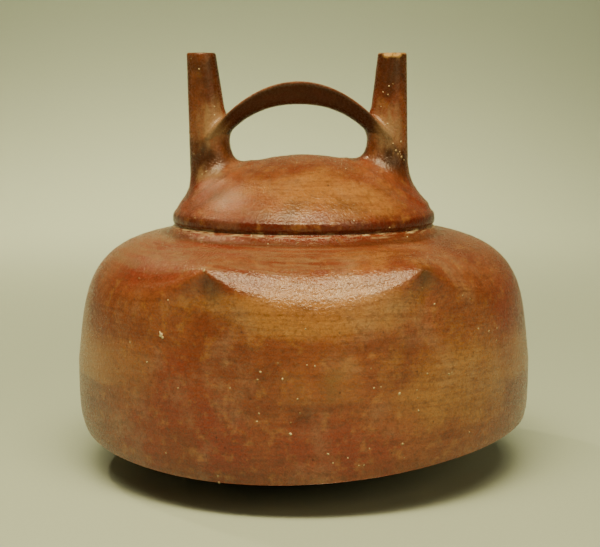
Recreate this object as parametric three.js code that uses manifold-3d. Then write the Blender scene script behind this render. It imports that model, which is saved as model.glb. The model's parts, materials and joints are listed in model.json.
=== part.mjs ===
// Double spout bottle: one hollow piece of burnished red clay, in millimetres, +Z up.
// The origin is the middle of the flat foot. The spouts stand along X, and the front faces -Y.
import * as THREE from "three";
import Module from "manifold-3d";

// Body: a squat drum with a shallow rounded base and a broad shoulder
const bodyRadius = 92;
const footRadius = 38;
const edgeRadius = 82.3; // the turned edge where the base meets the wall
const edgeHeight = 12;
const edgeTilt = 1.2; // the edge hangs this much lower on the left than in the middle
const edgeWaver = 1.6; // and wanders this much between the front, the sides and the back
const baseCurve = 1.6; // 1 would be a straight cone from the foot to the edge, and more is a bowl
const wallRise = 31.7; // from the edge up to the widest line
const wallTurn = 7; // how sharply the wall turns up from the edge
const shoulderRise = 52.8; // from the widest line up to the shoulder's highest point
const wallLean = 6; // how far the upper wall leans in
const shoulderPower = 4.4; // 2 would be an ellipse, and more is squarer
const shoulderPowerSway = 0.25; // squarer on the right than on the left

// Lugs: two pinched points on the front of the shoulder, and a pair like them behind
const lugReach = 7.6; // how far a tip stands out from the plain shoulder
const lugLift = 3.3; // and how far above it
const lugApart = 53; // degrees between the two of a pair
const lugTurn = 2.7; // degrees that the front pair is turned to the right
const lugFade = 10; // degrees round the body in which a lug fades
const lugClimb = 0.4; // where it sits, from 0 on the widest line to 1 on the axis
const lugClimbFade = 0.13;
const lugRidge = 0.7; // how fast its ridges turn round away from the tip: 0 keeps them sharp

// Collar and dome: a smaller stage on top of the shoulder
const collarRadius = 53.4;
const collarHeight = 6.8;
const collarSeat = 1.6; // how far the shoulder turns up to meet the collar
const grooveDepth = 1.3; // the cut line between the shoulder and the collar
const bandBulge = 0.3; // how far the middle of the collar's side stands out from its foot
const rimRounding = 1.6;
const domeRise = 22;

// Spouts: two tapered tubes near the ends of the dome
const spoutRise = 62.6; // from the collar's rim up to the lips
const spoutLipRadius = 5.9;
const spoutFootRadius = 9.3;
const lipWall = 1.8;
const spoutFootWall = 3.3;
const boreFootShift = 1.5; // the bore's foot lies this much further out than the spout's
const lipRounding = 0.6;
const spoutFilletInner = 5; // the curve where a spout meets the dome, towards the middle
const spoutFilletOuter = 12; // and away from it
const skirtRoot = 2.5; // how deep the spout's end is sunk in the dome
const skirtEdge = 0.4; // and how deep the thin edge of its skirt is
const leftSpout = { side: -1, inset: 7.3, lean: 4.4 };
const rightSpout = { side: 1, inset: 11.2, lean: 2.2 };

// Bridge: a strap that arches from spout to spout, dished on top and rounded below
const strapDrop = 11; // from the lips down to the strap's highest point
const strapFootRise = 21.6; // from the collar's rim up to where the strap dies into a spout
const strapPastAxis = 5.7; // how far past a spout's axis it ends
const strapPower = 1.7; // 1 would be an elliptical arch, and more leaves the spouts less steeply
const strapThickness = 9;
const strapFootThickness = 6.5;
const strapHalfWidth = 8.3;
const strapSpread = 1.1; // added to the half width where the strap nears a spout
const strapFootHalfWidth = 6.6;
const strapLip = 2.2; // thickness of the strap's edge
const strapLipRounding = 0.25;
const strapDish = 1.2; // depth of the hollow along its top
const strapKeel = 0.75; // 0.5 would be an elliptical underside, and 1 a parabola

// Wall
const wall = 5;
const floorThickness = 6;

// How finely the round shapes are divided
const stepsBetweenLugs = 12;
const stepsBetweenPairs = 24;
const stepCrowding = 0.6; // 0 spaces the steps evenly, and 1 crowds them most at the lugs
const stepsRoundHollow = 40;
const stepsRoundSpout = 24;
const stepsRoundBore = 16;
const stepsAlongStrap = 36;
const stepsAcrossStrap = 6;

// Where the rings lie, as shares of the stretch that each list divides
const baseRings = [0.35, 0.7];
const wallRings = [0, 0.05, 0.13, 0.27, 0.5, 0.75, 1];
const underLugRings = [0.18, 0.35, 0.51, 0.65, 0.77, 0.88, 0.96, 1];
const overLugRings = [0.1, 0.24, 0.41, 0.59, 0.79];
const domeRings = [0.88, 0.74, 0.58, 0.4, 0.2];
const hollowBaseRings = [0.45, 0.75, 1];
const hollowWallRings = [0.35, 0.7];
const hollowShoulderRings = [0.17, 0.3, 0.42, 0.52, 0.62, 0.72, 0.82, 0.91, 1];
const hollowDomeRings = [1, 0.8, 0.55, 0.3];
const skirtRings = [0.7, 0.42, 0.2, 0];
const spoutRings = [0.12, 0.26, 0.42, 0.6, 0.8, 1];

const { sin, cos, sqrt, abs, min, max, exp, PI } = Math;
const { degToRad, lerp, smoothstep } = THREE.MathUtils;

// Shares from 0 to 1 in equal steps, without the 0.
const shares = (count) => Array.from({ length: count }, (_, i) => (i + 1) / count);

const polar = (azimuth, r, z) => new THREE.Vector3(r * cos(azimuth), r * sin(azimuth), z);

const widestHeight = edgeHeight + wallRise;
const front = -PI / 2;
const back = PI / 2;
const lugAzimuths = [
  front + degToRad(lugTurn - lugApart / 2),
  front + degToRad(lugTurn + lugApart / 2),
  back - degToRad(lugTurn + lugApart / 2),
  back - degToRad(lugTurn - lugApart / 2),
];

// The azimuths of the body's rings: even between the lugs, and closer together near each one.
function bodyAzimuths() {
  const list = [];
  lugAzimuths.forEach((from, i) => {
    const to = i < 3 ? lugAzimuths[i + 1] : lugAzimuths[0] + 2 * PI;
    const count = i % 2 ? stepsBetweenPairs : stepsBetweenLugs;
    for (const s of shares(count)) {
      const eased = s - (stepCrowding * sin(2 * PI * s)) / (2 * PI);
      list.push(from + (to - from) * eased);
    }
  });
  return list;
}

// The turned edge isn't level, because the bottle was built by hand.
function edgeZ(azimuth) {
  return edgeHeight + edgeTilt * cos(azimuth) - edgeWaver * sin(2 * azimuth);
}

// The base rises from the flat foot to the edge, steeper as it goes out.
function baseZ(azimuth, r) {
  const out = max(0, (r - footRadius) / (edgeRadius - footRadius));
  return edgeZ(azimuth) * out ** baseCurve;
}

// The wall turns quickly out from the edge, and then rises nearly straight to the widest line.
function wallPoint(azimuth, rise) {
  const turn = 1 - (1 - rise) ** wallTurn;
  return [lerp(edgeRadius, bodyRadius, turn), lerp(edgeZ(azimuth), widestHeight, rise)];
}

// The shoulder without its lugs, from the widest line at climb 0 to the axis at climb 1.
function shoulderPoint(azimuth, climb) {
  const power = 2 / (shoulderPower + shoulderPowerSway * cos(azimuth));
  const up = sin((climb * PI) / 2) ** power;
  const r = (bodyRadius - wallLean * up) * cos((climb * PI) / 2) ** power;
  return [r, widestHeight + shoulderRise * up];
}

// The climb at which the shoulder has come in to the collar, found by halving.
function collarClimb(azimuth) {
  const halvings = 40;
  let [low, high] = [0, 1];
  for (let i = 0; i < halvings; i++) {
    const middle = (low + high) / 2;
    if (shoulderPoint(azimuth, middle)[0] > collarRadius) low = middle;
    else high = middle;
  }
  return low;
}

// How strongly a lug acts at a place: 1 at its tip, fading round the body and up and down it.
// A ridge runs out from the tip each way, and grows softer as it goes.
function lugShare(azimuth, climb) {
  const nearest = min(...lugAzimuths.map((lug) => abs(wrapAngle(azimuth - lug))));
  const round = nearest / degToRad(lugFade);
  const up = abs(climb - lugClimb) / lugClimbFade;
  const softened = (x, soft) => Math.hypot(x, soft) - soft;
  return exp(-softened(round, lugRidge * up) - softened(up, lugRidge * round));
}

function wrapAngle(angle) {
  return angle - 2 * PI * Math.round(angle / (2 * PI));
}

// The shoulder with its lugs, which are gone where the collar begins.
function luggedPoint(azimuth, climb) {
  const top = collarClimb(azimuth);
  const push = lugShare(azimuth, climb) * smoothstep(top - climb, 0, top - lugClimb);
  const [r, z] = shoulderPoint(azimuth, climb);
  return [r + lugReach * push, z + lugLift * push];
}

const grooveRadius = collarRadius - grooveDepth;
const shoulderTop = shoulderPoint(back, collarClimb(back))[1];
const grooveHeight = shoulderTop + collarSeat;
const rimHeight = grooveHeight + collarHeight;
const lipHeight = rimHeight + spoutRise;

// The dome is part of a ball that passes through the collar's rim.
const domeEdgeRadius = collarRadius - rimRounding;
const domeRadius = (domeEdgeRadius ** 2 + domeRise ** 2) / (2 * domeRise);
const domeCentreZ = rimHeight + domeRise - domeRadius;
const domeZ = (r, inset = 0) => domeCentreZ + sqrt(max(0, (domeRadius - inset) ** 2 - r ** 2));

// A closed skin through rings of equally many points, from the lowest ring to the highest,
// with its two ends closed by a point in the middle of each.
function skin(rings, bottom, top) {
  const count = rings[0].length;
  const points = [...rings.flat(), bottom, top];
  const index = [];
  for (let j = 0; j < count; j++) {
    const next = (j + 1) % count;
    index.push(points.length - 2, next, j);
    for (let i = 0; i + 1 < rings.length; i++) {
      const a = i * count + j;
      const b = i * count + next;
      index.push(a, b, b + count, a, b + count, a + count);
    }
    const last = (rings.length - 1) * count;
    index.push(points.length - 1, last + j, last + next);
  }
  return new THREE.BufferGeometry().setFromPoints(points).setIndex(index);
}

// The outside of the body, from the foot up over the shoulder and the collar to the dome.
function bodySkin() {
  const azimuths = bodyAzimuths();
  const ring = (at) => azimuths.map((a) => polar(a, ...at(a)));
  const rings = [ring(() => [footRadius, 0])];
  for (const s of baseRings) {
    const r = lerp(footRadius, edgeRadius, s);
    rings.push(ring((a) => [r, baseZ(a, r)]));
  }
  for (const rise of wallRings) rings.push(ring((a) => wallPoint(a, rise)));
  for (const s of underLugRings) rings.push(ring((a) => luggedPoint(a, s * lugClimb)));
  for (const s of overLugRings)
    rings.push(ring((a) => luggedPoint(a, lerp(lugClimb, collarClimb(a), s))));
  rings.push(ring(() => [grooveRadius, grooveHeight]));
  rings.push(ring(() => [collarRadius - bandBulge, grooveHeight + grooveDepth]));
  rings.push(ring(() => [collarRadius, grooveHeight + collarHeight / 2]));
  // Halfway round the rim's quarter circle
  const halfway = rimRounding * (1 - Math.SQRT1_2);
  rings.push(ring(() => [collarRadius - halfway, rimHeight - halfway]));
  rings.push(ring(() => [domeEdgeRadius, rimHeight]));
  for (const s of domeRings) {
    const r = s * domeEdgeRadius;
    rings.push(ring(() => [r, domeZ(r)]));
  }
  return skin(rings, polar(0, 0, 0), polar(0, 0, domeZ(0)));
}

// The hollow inside: one wall in from the outside, with neither lugs nor groove.
function hollowSkin() {
  const azimuths = shares(stepsRoundHollow).map((s) => 2 * PI * s);
  const ring = (at) => azimuths.map((a) => polar(a, ...at(a)));
  const rings = [];
  for (const s of hollowBaseRings) {
    const r = s * (edgeRadius - wall);
    rings.push(ring((a) => [r, baseZ(a, r) + floorThickness]));
  }
  for (const rise of hollowWallRings)
    rings.push(ring((a) => inFromOutside((t) => wallPoint(a, t), rise)));
  for (const s of hollowShoulderRings)
    rings.push(ring((a) => inFromOutside((t) => shoulderPoint(a, t), s * collarClimb(a))));
  const neckRadius = collarRadius - wall;
  for (const s of hollowDomeRings)
    rings.push(ring(() => [s * neckRadius, domeZ(s * neckRadius, wall)]));
  return skin(rings, polar(0, 0, floorThickness), polar(0, 0, domeZ(0, wall)));
}

// A point one wall inside an outline that is given as [r, z] at a share of its length.
function inFromOutside(outline, share) {
  const step = 0.002;
  const [r0, z0] = outline(max(0, share - step));
  const [r1, z1] = outline(share + step);
  const length = Math.hypot(r1 - r0, z1 - z0);
  const [r, z] = outline(share);
  return [r - (wall * (z1 - z0)) / length, z + (wall * (r1 - r0)) / length];
}

// A spout's axis leans from its foot on the dome to its lip.
function spoutAxis({ side, inset, lean }) {
  const footX = collarRadius - inset - spoutFootRadius;
  const footZ = domeZ(footX);
  const share = (z) => (z - footZ) / (lipHeight - footZ);
  return {
    footZ,
    x: (z) => side * lerp(footX, footX + lean, share(z)),
    radius: (z) => lerp(spoutFootRadius, spoutLipRadius, share(z)),
    boreX: (z) => side * lerp(footX + boreFootShift, footX + lean, share(z)),
    boreRadius: (z) => lerp(spoutFootRadius - spoutFootWall, spoutLipRadius - lipWall, share(z)),
  };
}

// A level ring round an axis that stands at x.
function levelRing(count, x, radius, z) {
  const angles = shares(count).map((s) => 2 * PI * s);
  return angles.map((a) => new THREE.Vector3(x + radius * cos(a), radius * sin(a), z));
}

// The outside of a spout, with a curved skirt that runs out onto the dome.
function spoutSkin(spout) {
  const axis = spoutAxis(spout);
  const footX = axis.x(axis.footZ);
  const angles = shares(stepsRoundSpout).map((s) => 2 * PI * s);
  const onDome = (angle, r, lift) => {
    const x = footX + r * cos(angle);
    const y = r * sin(angle);
    return new THREE.Vector3(x, y, domeZ(Math.hypot(x, y)) + lift);
  };
  // The skirt is wider away from the middle, but stops short of the collar's rim.
  const reach = collarRadius - 2 * rimRounding;
  const skirts = angles.map((angle) => {
    const outwards = (1 + spout.side * cos(angle)) / 2;
    const b = footX * cos(angle);
    const toRim = sqrt(b ** 2 + reach ** 2 - footX ** 2) - b - spoutFootRadius;
    return max(skirtEdge, min(lerp(spoutFilletInner, spoutFilletOuter, outwards), toRim));
  });
  const skirtRing = (at) => angles.map((angle, i) => at(angle, skirts[i]));
  const rings = [
    skirtRing((angle, skirt) => onDome(angle, spoutFootRadius + skirt, -skirtRoot)),
    skirtRing((angle, skirt) => onDome(angle, spoutFootRadius + skirt, -skirtEdge)),
  ];
  for (const s of skirtRings) {
    const lift = 1 - sqrt(1 - (1 - s) ** 2);
    rings.push(skirtRing((a, skirt) => onDome(a, spoutFootRadius + s * skirt, lift * skirt)));
  }
  const skirtTop = rings.at(-1).map((point) => point.z);
  for (const s of spoutRings)
    rings.push(
      angles.map((angle, i) => {
        const z = lerp(skirtTop[i], lipHeight - lipRounding, s);
        const r = axis.radius(z);
        return new THREE.Vector3(axis.x(z) + r * cos(angle), r * sin(angle), z);
      }),
    );
  const lipX = axis.x(lipHeight);
  rings.push(levelRing(stepsRoundSpout, lipX, spoutLipRadius - lipRounding, lipHeight));
  const bottom = new THREE.Vector3(footX, 0, axis.footZ - skirtRoot);
  return skin(rings, bottom, new THREE.Vector3(lipX, 0, lipHeight));
}

// The bore of a spout, from above its lip down into the hollow under the dome.
function boreSkin(spout) {
  const axis = spoutAxis(spout);
  const low = axis.footZ - 2 * wall - spoutFootRadius / 2;
  const high = lipHeight + wall;
  const ring = (z) => levelRing(stepsRoundBore, axis.boreX(z), axis.boreRadius(z), z);
  return skin(
    [ring(low), ring(high)],
    new THREE.Vector3(axis.boreX(low), 0, low),
    new THREE.Vector3(axis.boreX(high), 0, high),
  );
}

// The strap's top line, from the left spout over the middle to the right one.
function strapLine() {
  const footZ = rimHeight + strapFootRise;
  const left = spoutAxis(leftSpout).x(footZ) - strapPastAxis;
  const right = spoutAxis(rightSpout).x(footZ) + strapPastAxis;
  const rise = lipHeight - strapDrop - footZ;
  const curve = new THREE.Curve();
  curve.getPoint = (t) => {
    const x = lerp(left, right, (1 - cos(PI * t)) / 2);
    return new THREE.Vector3(x, 0, footZ + rise * sin(PI * t) ** strapPower);
  };
  return curve;
}

// The strap's section: y across it, and h the depth under its top line.
// It is dished above between two thin edges, and rounded below.
function strapSection(halfWidth, thickness) {
  const across = shares(stepsAcrossStrap).slice(0, -1).map((s) => 1 - 2 * s);
  const above = across.map((y) => [y * halfWidth, strapDish * (1 - y ** 2)]);
  const deep = (y) => strapLip + (thickness - strapLip) * (1 - y ** 2) ** strapKeel;
  const below = across.map((y) => [-y * halfWidth, deep(y)]);
  const edge = (side) => [
    [side * (halfWidth - strapLipRounding), 0],
    [side * halfWidth, strapLip / 2],
    [side * (halfWidth - strapLipRounding), strapLip],
  ];
  return [...edge(1).reverse(), ...above, ...edge(-1), ...below];
}

// The strap thins and spreads towards the spouts, and narrows again where it meets them.
function bridgeSkin() {
  const line = strapLine();
  const hidden = 0.02; // the share of the line at each end that is left out, inside the spouts
  const spreadFrom = 0.3; // these three are shares of the way from the middle to a spout
  const spreadTo = 0.75;
  const thinnedBy = 0.7;
  const rings = [0, ...shares(stepsAlongStrap)].map((s) => {
    const t = lerp(hidden, 1 - hidden, s);
    const point = line.getPoint(t);
    const tangent = line.getTangent(t);
    const down = new THREE.Vector3(tangent.z, 0, -tangent.x);
    const out = abs(2 * s - 1);
    const spread = strapHalfWidth + strapSpread * smoothstep(out, spreadFrom, spreadTo);
    const halfWidth = lerp(spread, strapFootHalfWidth, smoothstep(out, spreadTo, 1));
    const thickness = lerp(strapThickness, strapFootThickness, smoothstep(out, 0, thinnedBy));
    return strapSection(halfWidth, thickness).map(([y, h]) =>
      point.clone().addScaledVector(down, h).setY(y),
    );
  });
  const middle = (ring) =>
    ring.reduce((sum, p) => sum.add(p), new THREE.Vector3()).divideScalar(ring.length);
  return skin(rings, middle(rings[0]), middle(rings.at(-1)));
}

const wasm = await Module();
wasm.setup();

function solid(geometry) {
  const vertProperties = geometry.attributes.position.array;
  const triVerts = new Uint32Array(geometry.index.array);
  return new wasm.Manifold(new wasm.Mesh({ numProp: 3, vertProperties, triVerts }));
}

const outside = solid(bodySkin())
  .add(solid(spoutSkin(leftSpout)))
  .add(solid(spoutSkin(rightSpout)))
  .add(solid(bridgeSkin()));
const inside = solid(hollowSkin())
  .add(solid(boreSkin(leftSpout)))
  .add(solid(boreSkin(rightSpout)));
const clay = outside.subtract(inside).getMesh();

const geometry = new THREE.BufferGeometry();
geometry.setAttribute("position", new THREE.BufferAttribute(clay.vertProperties, 3));
geometry.setIndex(new THREE.BufferAttribute(clay.triVerts, 1));
geometry.computeVertexNormals();

const burnishedClay = new THREE.MeshStandardMaterial({
  color: "#a5521f",
  roughness: 0.45,
  metalness: 0,
});

const bottle = new THREE.Mesh(geometry, burnishedClay);
bottle.name = "bottle";

export default new THREE.Group().add(bottle);
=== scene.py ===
# %% [markdown]
# # A double spout bottle, burnished clay
#
# The real object is one piece of fired clay: a squat hollow drum with two pinched lugs on the
# front of its shoulder, a low collar and dome on top, and two thin spouts joined by a strap.
# This lesson builds its visible surface round the solid that the frame holds. Every size below
# is in millimetres, as on a potter's drawing, and turns to metres only when a mesh is made.

import json
import math

import bmesh
import bpy
import numpy as np
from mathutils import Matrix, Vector, noise
from mathutils.bvhtree import BVHTree

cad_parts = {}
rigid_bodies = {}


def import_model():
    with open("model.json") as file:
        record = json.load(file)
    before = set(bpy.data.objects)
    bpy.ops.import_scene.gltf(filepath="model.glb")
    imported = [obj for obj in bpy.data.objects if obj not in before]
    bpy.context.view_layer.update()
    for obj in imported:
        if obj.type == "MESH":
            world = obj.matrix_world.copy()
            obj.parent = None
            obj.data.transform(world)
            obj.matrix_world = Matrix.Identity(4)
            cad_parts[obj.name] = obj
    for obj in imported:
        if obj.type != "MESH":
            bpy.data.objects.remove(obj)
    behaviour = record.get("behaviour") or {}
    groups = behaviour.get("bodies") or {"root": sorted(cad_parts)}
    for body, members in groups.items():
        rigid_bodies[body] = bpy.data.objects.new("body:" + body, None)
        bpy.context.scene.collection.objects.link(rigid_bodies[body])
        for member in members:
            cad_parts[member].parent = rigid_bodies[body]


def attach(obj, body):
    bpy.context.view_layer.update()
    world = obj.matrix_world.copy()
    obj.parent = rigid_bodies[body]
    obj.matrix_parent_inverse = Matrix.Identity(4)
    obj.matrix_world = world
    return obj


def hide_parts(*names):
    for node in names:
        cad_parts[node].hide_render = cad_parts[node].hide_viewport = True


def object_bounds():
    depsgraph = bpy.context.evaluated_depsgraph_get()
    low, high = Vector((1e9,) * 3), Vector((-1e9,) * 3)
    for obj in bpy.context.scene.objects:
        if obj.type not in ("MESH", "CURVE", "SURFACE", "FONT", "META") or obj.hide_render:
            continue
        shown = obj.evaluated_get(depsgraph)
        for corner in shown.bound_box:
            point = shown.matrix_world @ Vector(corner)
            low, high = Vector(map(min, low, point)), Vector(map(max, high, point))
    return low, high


MM = 0.001
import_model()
cad_low, cad_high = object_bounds()
print("solid, mm:", [round(c / MM, 1) for c in (*cad_low, *cad_high)])

# %% [markdown]
# ## The camera
#
# The photo was taken from in front, a little above the strap, with a long lens. The distance,
# height and tilt below were worked out from the outline of the body, so they come before any
# shape is judged. The focal length is in pixels of the 600 pixel wide image.

# %% Camera
CAMERA_SIDE = -1.5
CAMERA_DISTANCE = 557.9
CAMERA_HEIGHT = 154.1
CAMERA_TILT = 0.1384
FOCAL_PIXELS = 1372.0
IMAGE_WIDTH, IMAGE_HEIGHT = 600, 547


def make_camera():
    data = bpy.data.cameras.new("camera")
    data.sensor_width = 36
    data.lens = data.sensor_width * FOCAL_PIXELS / IMAGE_WIDTH
    camera = bpy.data.objects.new("camera", data)
    camera.location = Vector((CAMERA_SIDE, -CAMERA_DISTANCE, CAMERA_HEIGHT)) * MM
    camera.rotation_euler = (math.pi / 2 - CAMERA_TILT, 0, 0)
    bpy.context.scene.collection.objects.link(camera)
    bpy.context.scene.camera = camera
    return camera


camera = make_camera()
print("lens, mm:", round(camera.data.lens, 1))

# %% [markdown]
# ## The rule of the body
#
# A coiled and paddled drum isn't turned on a wheel, but its outline still follows a simple rule:
# a shallow bowl below, a quick turn into an upright wall, and a shoulder that is nearly a
# superellipse. The numbers start from those of the solid. The lower edge is crisper and further
# out, the base flatter and the shoulder a little fuller, all inside the solid's box. Writing them
# as functions of the azimuth lets the edge dip and the shoulder grow squarer on one side.

# %% Body sizes
BODY_RADIUS = (cad_high[0] - cad_low[0]) / 2 / MM
LIP_HEIGHT = cad_high[2] / MM
FOOT_RADIUS = 38
# The lower edge isn't level: it tilts to one side, and it rises and dips twice on the way round.
EDGE_RADIUS = 90.2
EDGE_SHIFT = 0.6
EDGE_HEIGHT = 16.6
EDGE_TILT = 1.5
EDGE_WAVER = 1.4
EDGE_SADDLE = 3
# The base is nearly a cone, and the wall turns to upright quickly, then more and more slowly.
BASE_CURVE = 1.15
WIDEST_HEIGHT = 43.7
WALL_TURN = 5
# The higher the power, the squarer the shoulder, and the sway makes one side squarer.
SHOULDER_RISE = 52.8
WALL_LEAN = 6
SHOULDER_POWER = 4.6
SHOULDER_POWER_SWAY = 0.1
print("body radius and lip height, mm:", round(BODY_RADIUS, 2), round(LIP_HEIGHT, 2))


# %% Body profile
def lerp(a, b, t):
    return a + (b - a) * t


def smoothstep(x, low, high):
    t = np.clip((x - low) / (high - low), 0, 1)
    return t * t * (3 - 2 * t)


def edge_z(azimuth):
    wave = EDGE_SADDLE * np.cos(2 * azimuth) - EDGE_WAVER * np.sin(2 * azimuth)
    return EDGE_HEIGHT + EDGE_TILT * np.cos(azimuth) + wave


def edge_radius(azimuth):
    return EDGE_RADIUS + EDGE_SHIFT * np.cos(azimuth)


def base_z(azimuth, r):
    out = np.maximum(0, (r - FOOT_RADIUS) / (edge_radius(azimuth) - FOOT_RADIUS))
    return edge_z(azimuth) * out**BASE_CURVE


def wall_point(azimuth, rise):
    turn = 1 - (1 - rise) ** WALL_TURN
    r = lerp(edge_radius(azimuth), BODY_RADIUS, turn)
    return r, lerp(edge_z(azimuth), WIDEST_HEIGHT, rise)


def shoulder_point(azimuth, climb):
    power = 2 / (SHOULDER_POWER + SHOULDER_POWER_SWAY * np.cos(azimuth))
    up = np.sin(climb * np.pi / 2) ** power
    r = (BODY_RADIUS - WALL_LEAN * up) * np.cos(climb * np.pi / 2) ** power
    return r, WIDEST_HEIGHT + SHOULDER_RISE * up


print("lower edge, left and right, mm:", [round(float(edge_z(a)), 1) for a in (np.pi, 0.0)])

# %% [markdown]
# ## The lugs
#
# The potter pinched the wet shoulder between finger and thumb, twice in front. A pinch leaves a
# sharp tip, with a ridge to each side that softens quickly, so the push fades as an exponential
# whose crease opens out away from the tip. Wear has rounded the tips a little, and the clay
# between two of them sagged, so the ridge hangs. The photo doesn't show the back, which gets the
# same pair.

# %% Lug rule
# A pinch pushes the skin out and up, in mm. The pairs are set in degrees.
LUG_REACH = 7.6
LUG_LIFT = 3.3
LUG_APART = 53
LUG_TURN = 2.7
# The push fades over this many degrees, and over these shares of the climb up the shoulder.
LUG_FADE = 10
LUG_CLIMB = 0.4
LUG_FADE_UP = 0.3
LUG_FADE_DOWN = 0.1
LUG_SAG = 0.12
LUG_RIDGE = 0.7
LUG_WORN = 0.35
FRONT, BACK = -np.pi / 2, np.pi / 2
LUG_AZIMUTHS = [
    FRONT + np.radians(LUG_TURN - LUG_APART / 2),
    FRONT + np.radians(LUG_TURN + LUG_APART / 2),
    BACK - np.radians(LUG_TURN + LUG_APART / 2),
    BACK - np.radians(LUG_TURN - LUG_APART / 2),
]


def lug_share(azimuth, climb):
    wrapped = [(azimuth - lug + np.pi) % (2 * np.pi) - np.pi for lug in LUG_AZIMUTHS]
    around = np.min(np.abs(wrapped), axis=0) / np.radians(LUG_FADE)
    # Between two lugs the ridge hangs a little, and it fades more quickly below than above.
    above = climb - (LUG_CLIMB - LUG_SAG * (1 - np.exp(-around)))
    up = np.where(above > 0, above / LUG_FADE_UP, -above / LUG_FADE_DOWN)

    def softened(x, soft):
        return np.hypot(x, soft) - soft

    sideways = softened(around, LUG_RIDGE * up + LUG_WORN)
    upwards = softened(up, LUG_RIDGE * around + LUG_WORN)
    return np.exp(-(sideways + upwards))


def lugged_point(azimuth, climb, top):
    push = lug_share(azimuth, climb) * smoothstep(top - climb, 0, top - LUG_CLIMB)
    r, z = shoulder_point(azimuth, climb)
    return r + LUG_REACH * push, z + LUG_LIFT * push


print("lug azimuths, degrees:", [round(math.degrees(a), 1) for a in LUG_AZIMUTHS])

# %% [markdown]
# ## One grid for the whole body
#
# The body, collar and dome are one stack of rings, like the potter's coils. The rings crowd where
# the profile turns quickly, and the columns crowd at the lugs, so the points go where the shape
# needs them and the piece stays light.

# %% Azimuths of the columns
COLUMNS_BETWEEN_LUGS = 60
COLUMNS_BETWEEN_PAIRS = 100
COLUMN_CROWDING = 0.6


def body_azimuths():
    stretches = []
    for i, start in enumerate(LUG_AZIMUTHS):
        end = LUG_AZIMUTHS[i + 1] if i < 3 else LUG_AZIMUTHS[0] + 2 * np.pi
        count = COLUMNS_BETWEEN_PAIRS if i % 2 else COLUMNS_BETWEEN_LUGS
        s = np.arange(1, count + 1) / count
        eased = s - COLUMN_CROWDING * np.sin(2 * np.pi * s) / (2 * np.pi)
        stretches.append(lerp(start, end, eased))
    return np.concatenate(stretches)


print("columns round the body:", len(body_azimuths()))

# %% [markdown]
# ## Collar and dome
#
# On top of the shoulder sits a low collar with a groove under it, and a dome closes it. The dome
# is part of a ball. The collar starts where the shoulder has come in to its radius, which is found
# by halving, and the groove runs a little higher in front than behind.

# %% Collar and dome sizes
COLLAR_RADIUS = 53.4
COLLAR_HEIGHT = 6.1
COLLAR_SEAT = 2.1
GROOVE_DEPTH = 0.9
GROOVE_SLANT = 0.9
RIM_ROUNDING = 1.2
DOME_RISE = 22


def collar_climb(azimuth):
    low, high = np.zeros_like(azimuth), np.ones_like(azimuth)
    for _ in range(40):
        middle = (low + high) / 2
        outside = shoulder_point(azimuth, middle)[0] > COLLAR_RADIUS
        low, high = np.where(outside, middle, low), np.where(outside, high, middle)
    return low


back_azimuth = np.array([BACK])
GROOVE_HEIGHT = shoulder_point(back_azimuth, collar_climb(back_azimuth))[1][0] + COLLAR_SEAT
RIM_HEIGHT = GROOVE_HEIGHT + COLLAR_HEIGHT
DOME_EDGE = COLLAR_RADIUS - RIM_ROUNDING
DOME_RADIUS = (DOME_EDGE**2 + DOME_RISE**2) / (2 * DOME_RISE)
DOME_CENTRE = RIM_HEIGHT + DOME_RISE - DOME_RADIUS


def groove_rise(azimuth):
    return -GROOVE_SLANT * np.sin(azimuth)


def dome_z(r, inset=0):
    return DOME_CENTRE + np.sqrt(np.maximum(0, (DOME_RADIUS - inset) ** 2 - r**2))


print("groove, rim and dome radius, mm:", *np.round([GROOVE_HEIGHT, RIM_HEIGHT, DOME_RADIUS], 1))


# %% Rings of the body
def smooth_line(points, count):
    """A Catmull-Rom line through the points, with count steps between two neighbours."""
    p = np.array([points[0], *points, points[-1]], float)
    out = []
    for i in range(1, len(p) - 2):
        for t in np.arange(count) / count:
            a, b, c, d = p[i - 1 : i + 3]
            bend = (2 * a - 5 * b + 4 * c - d) * t**2 + (3 * b - a - 3 * c + d) * t**3
            out.append(0.5 * (2 * b + (c - a) * t + bend))
    return np.array([*out, p[-1]])


def collar_band():
    """The outline of the groove and the rim, up to the dome."""
    edge = [
        (0.4, -0.9),
        (-GROOVE_DEPTH, 0),
        (-0.3, 0.8),
        (0, 1.8),
        (-0.1, 3.6),
        (-0.55, 5.0),
    ]
    edge = [(COLLAR_RADIUS + out, GROOVE_HEIGHT + up) for out, up in edge]
    for back, sunk in ((0.6, 0.25), (2.4, 0.05)):
        edge.append((DOME_EDGE - back, dome_z(DOME_EDGE - back) - sunk))
    return smooth_line(edge, 4)


def body_rings(azimuth):
    """The stack of rings. The powers crowd them at the edge, the lugs and the collar."""
    top = collar_climb(azimuth)
    base = [lerp(FOOT_RADIUS, edge_radius(azimuth), s) for s in 1 - np.linspace(1, 0, 16) ** 1.6]
    to_lug = 1 - np.linspace(1, 0, 34)[1:] ** 1.5
    to_collar = np.linspace(0, 1, 26)[1:-1] ** 1.3
    rings = [(r, base_z(azimuth, r)) for r in base]
    rings += [wall_point(azimuth, s**1.6) for s in np.linspace(0, 1, 34)[1:]]
    rings += [lugged_point(azimuth, s * LUG_CLIMB, top) for s in to_lug]
    rings += [lugged_point(azimuth, lerp(LUG_CLIMB, top, s), top) for s in to_collar]
    for r, z in collar_band():
        rise = groove_rise(azimuth) * np.clip((RIM_HEIGHT - z) / COLLAR_HEIGHT, 0, 1)
        rings.append((r + 0 * azimuth, z + rise))
    for s in np.linspace(0.95, 0.02, 34):
        rings.append((s * DOME_EDGE + 0 * azimuth, dome_z(s * DOME_EDGE) + 0 * azimuth))
    r, z = (np.array(part) for part in zip(*rings))
    return np.stack([r * np.cos(azimuth), r * np.sin(azimuth), z], axis=-1)


print("rings up the body:", len(body_rings(body_azimuths())))


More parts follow.
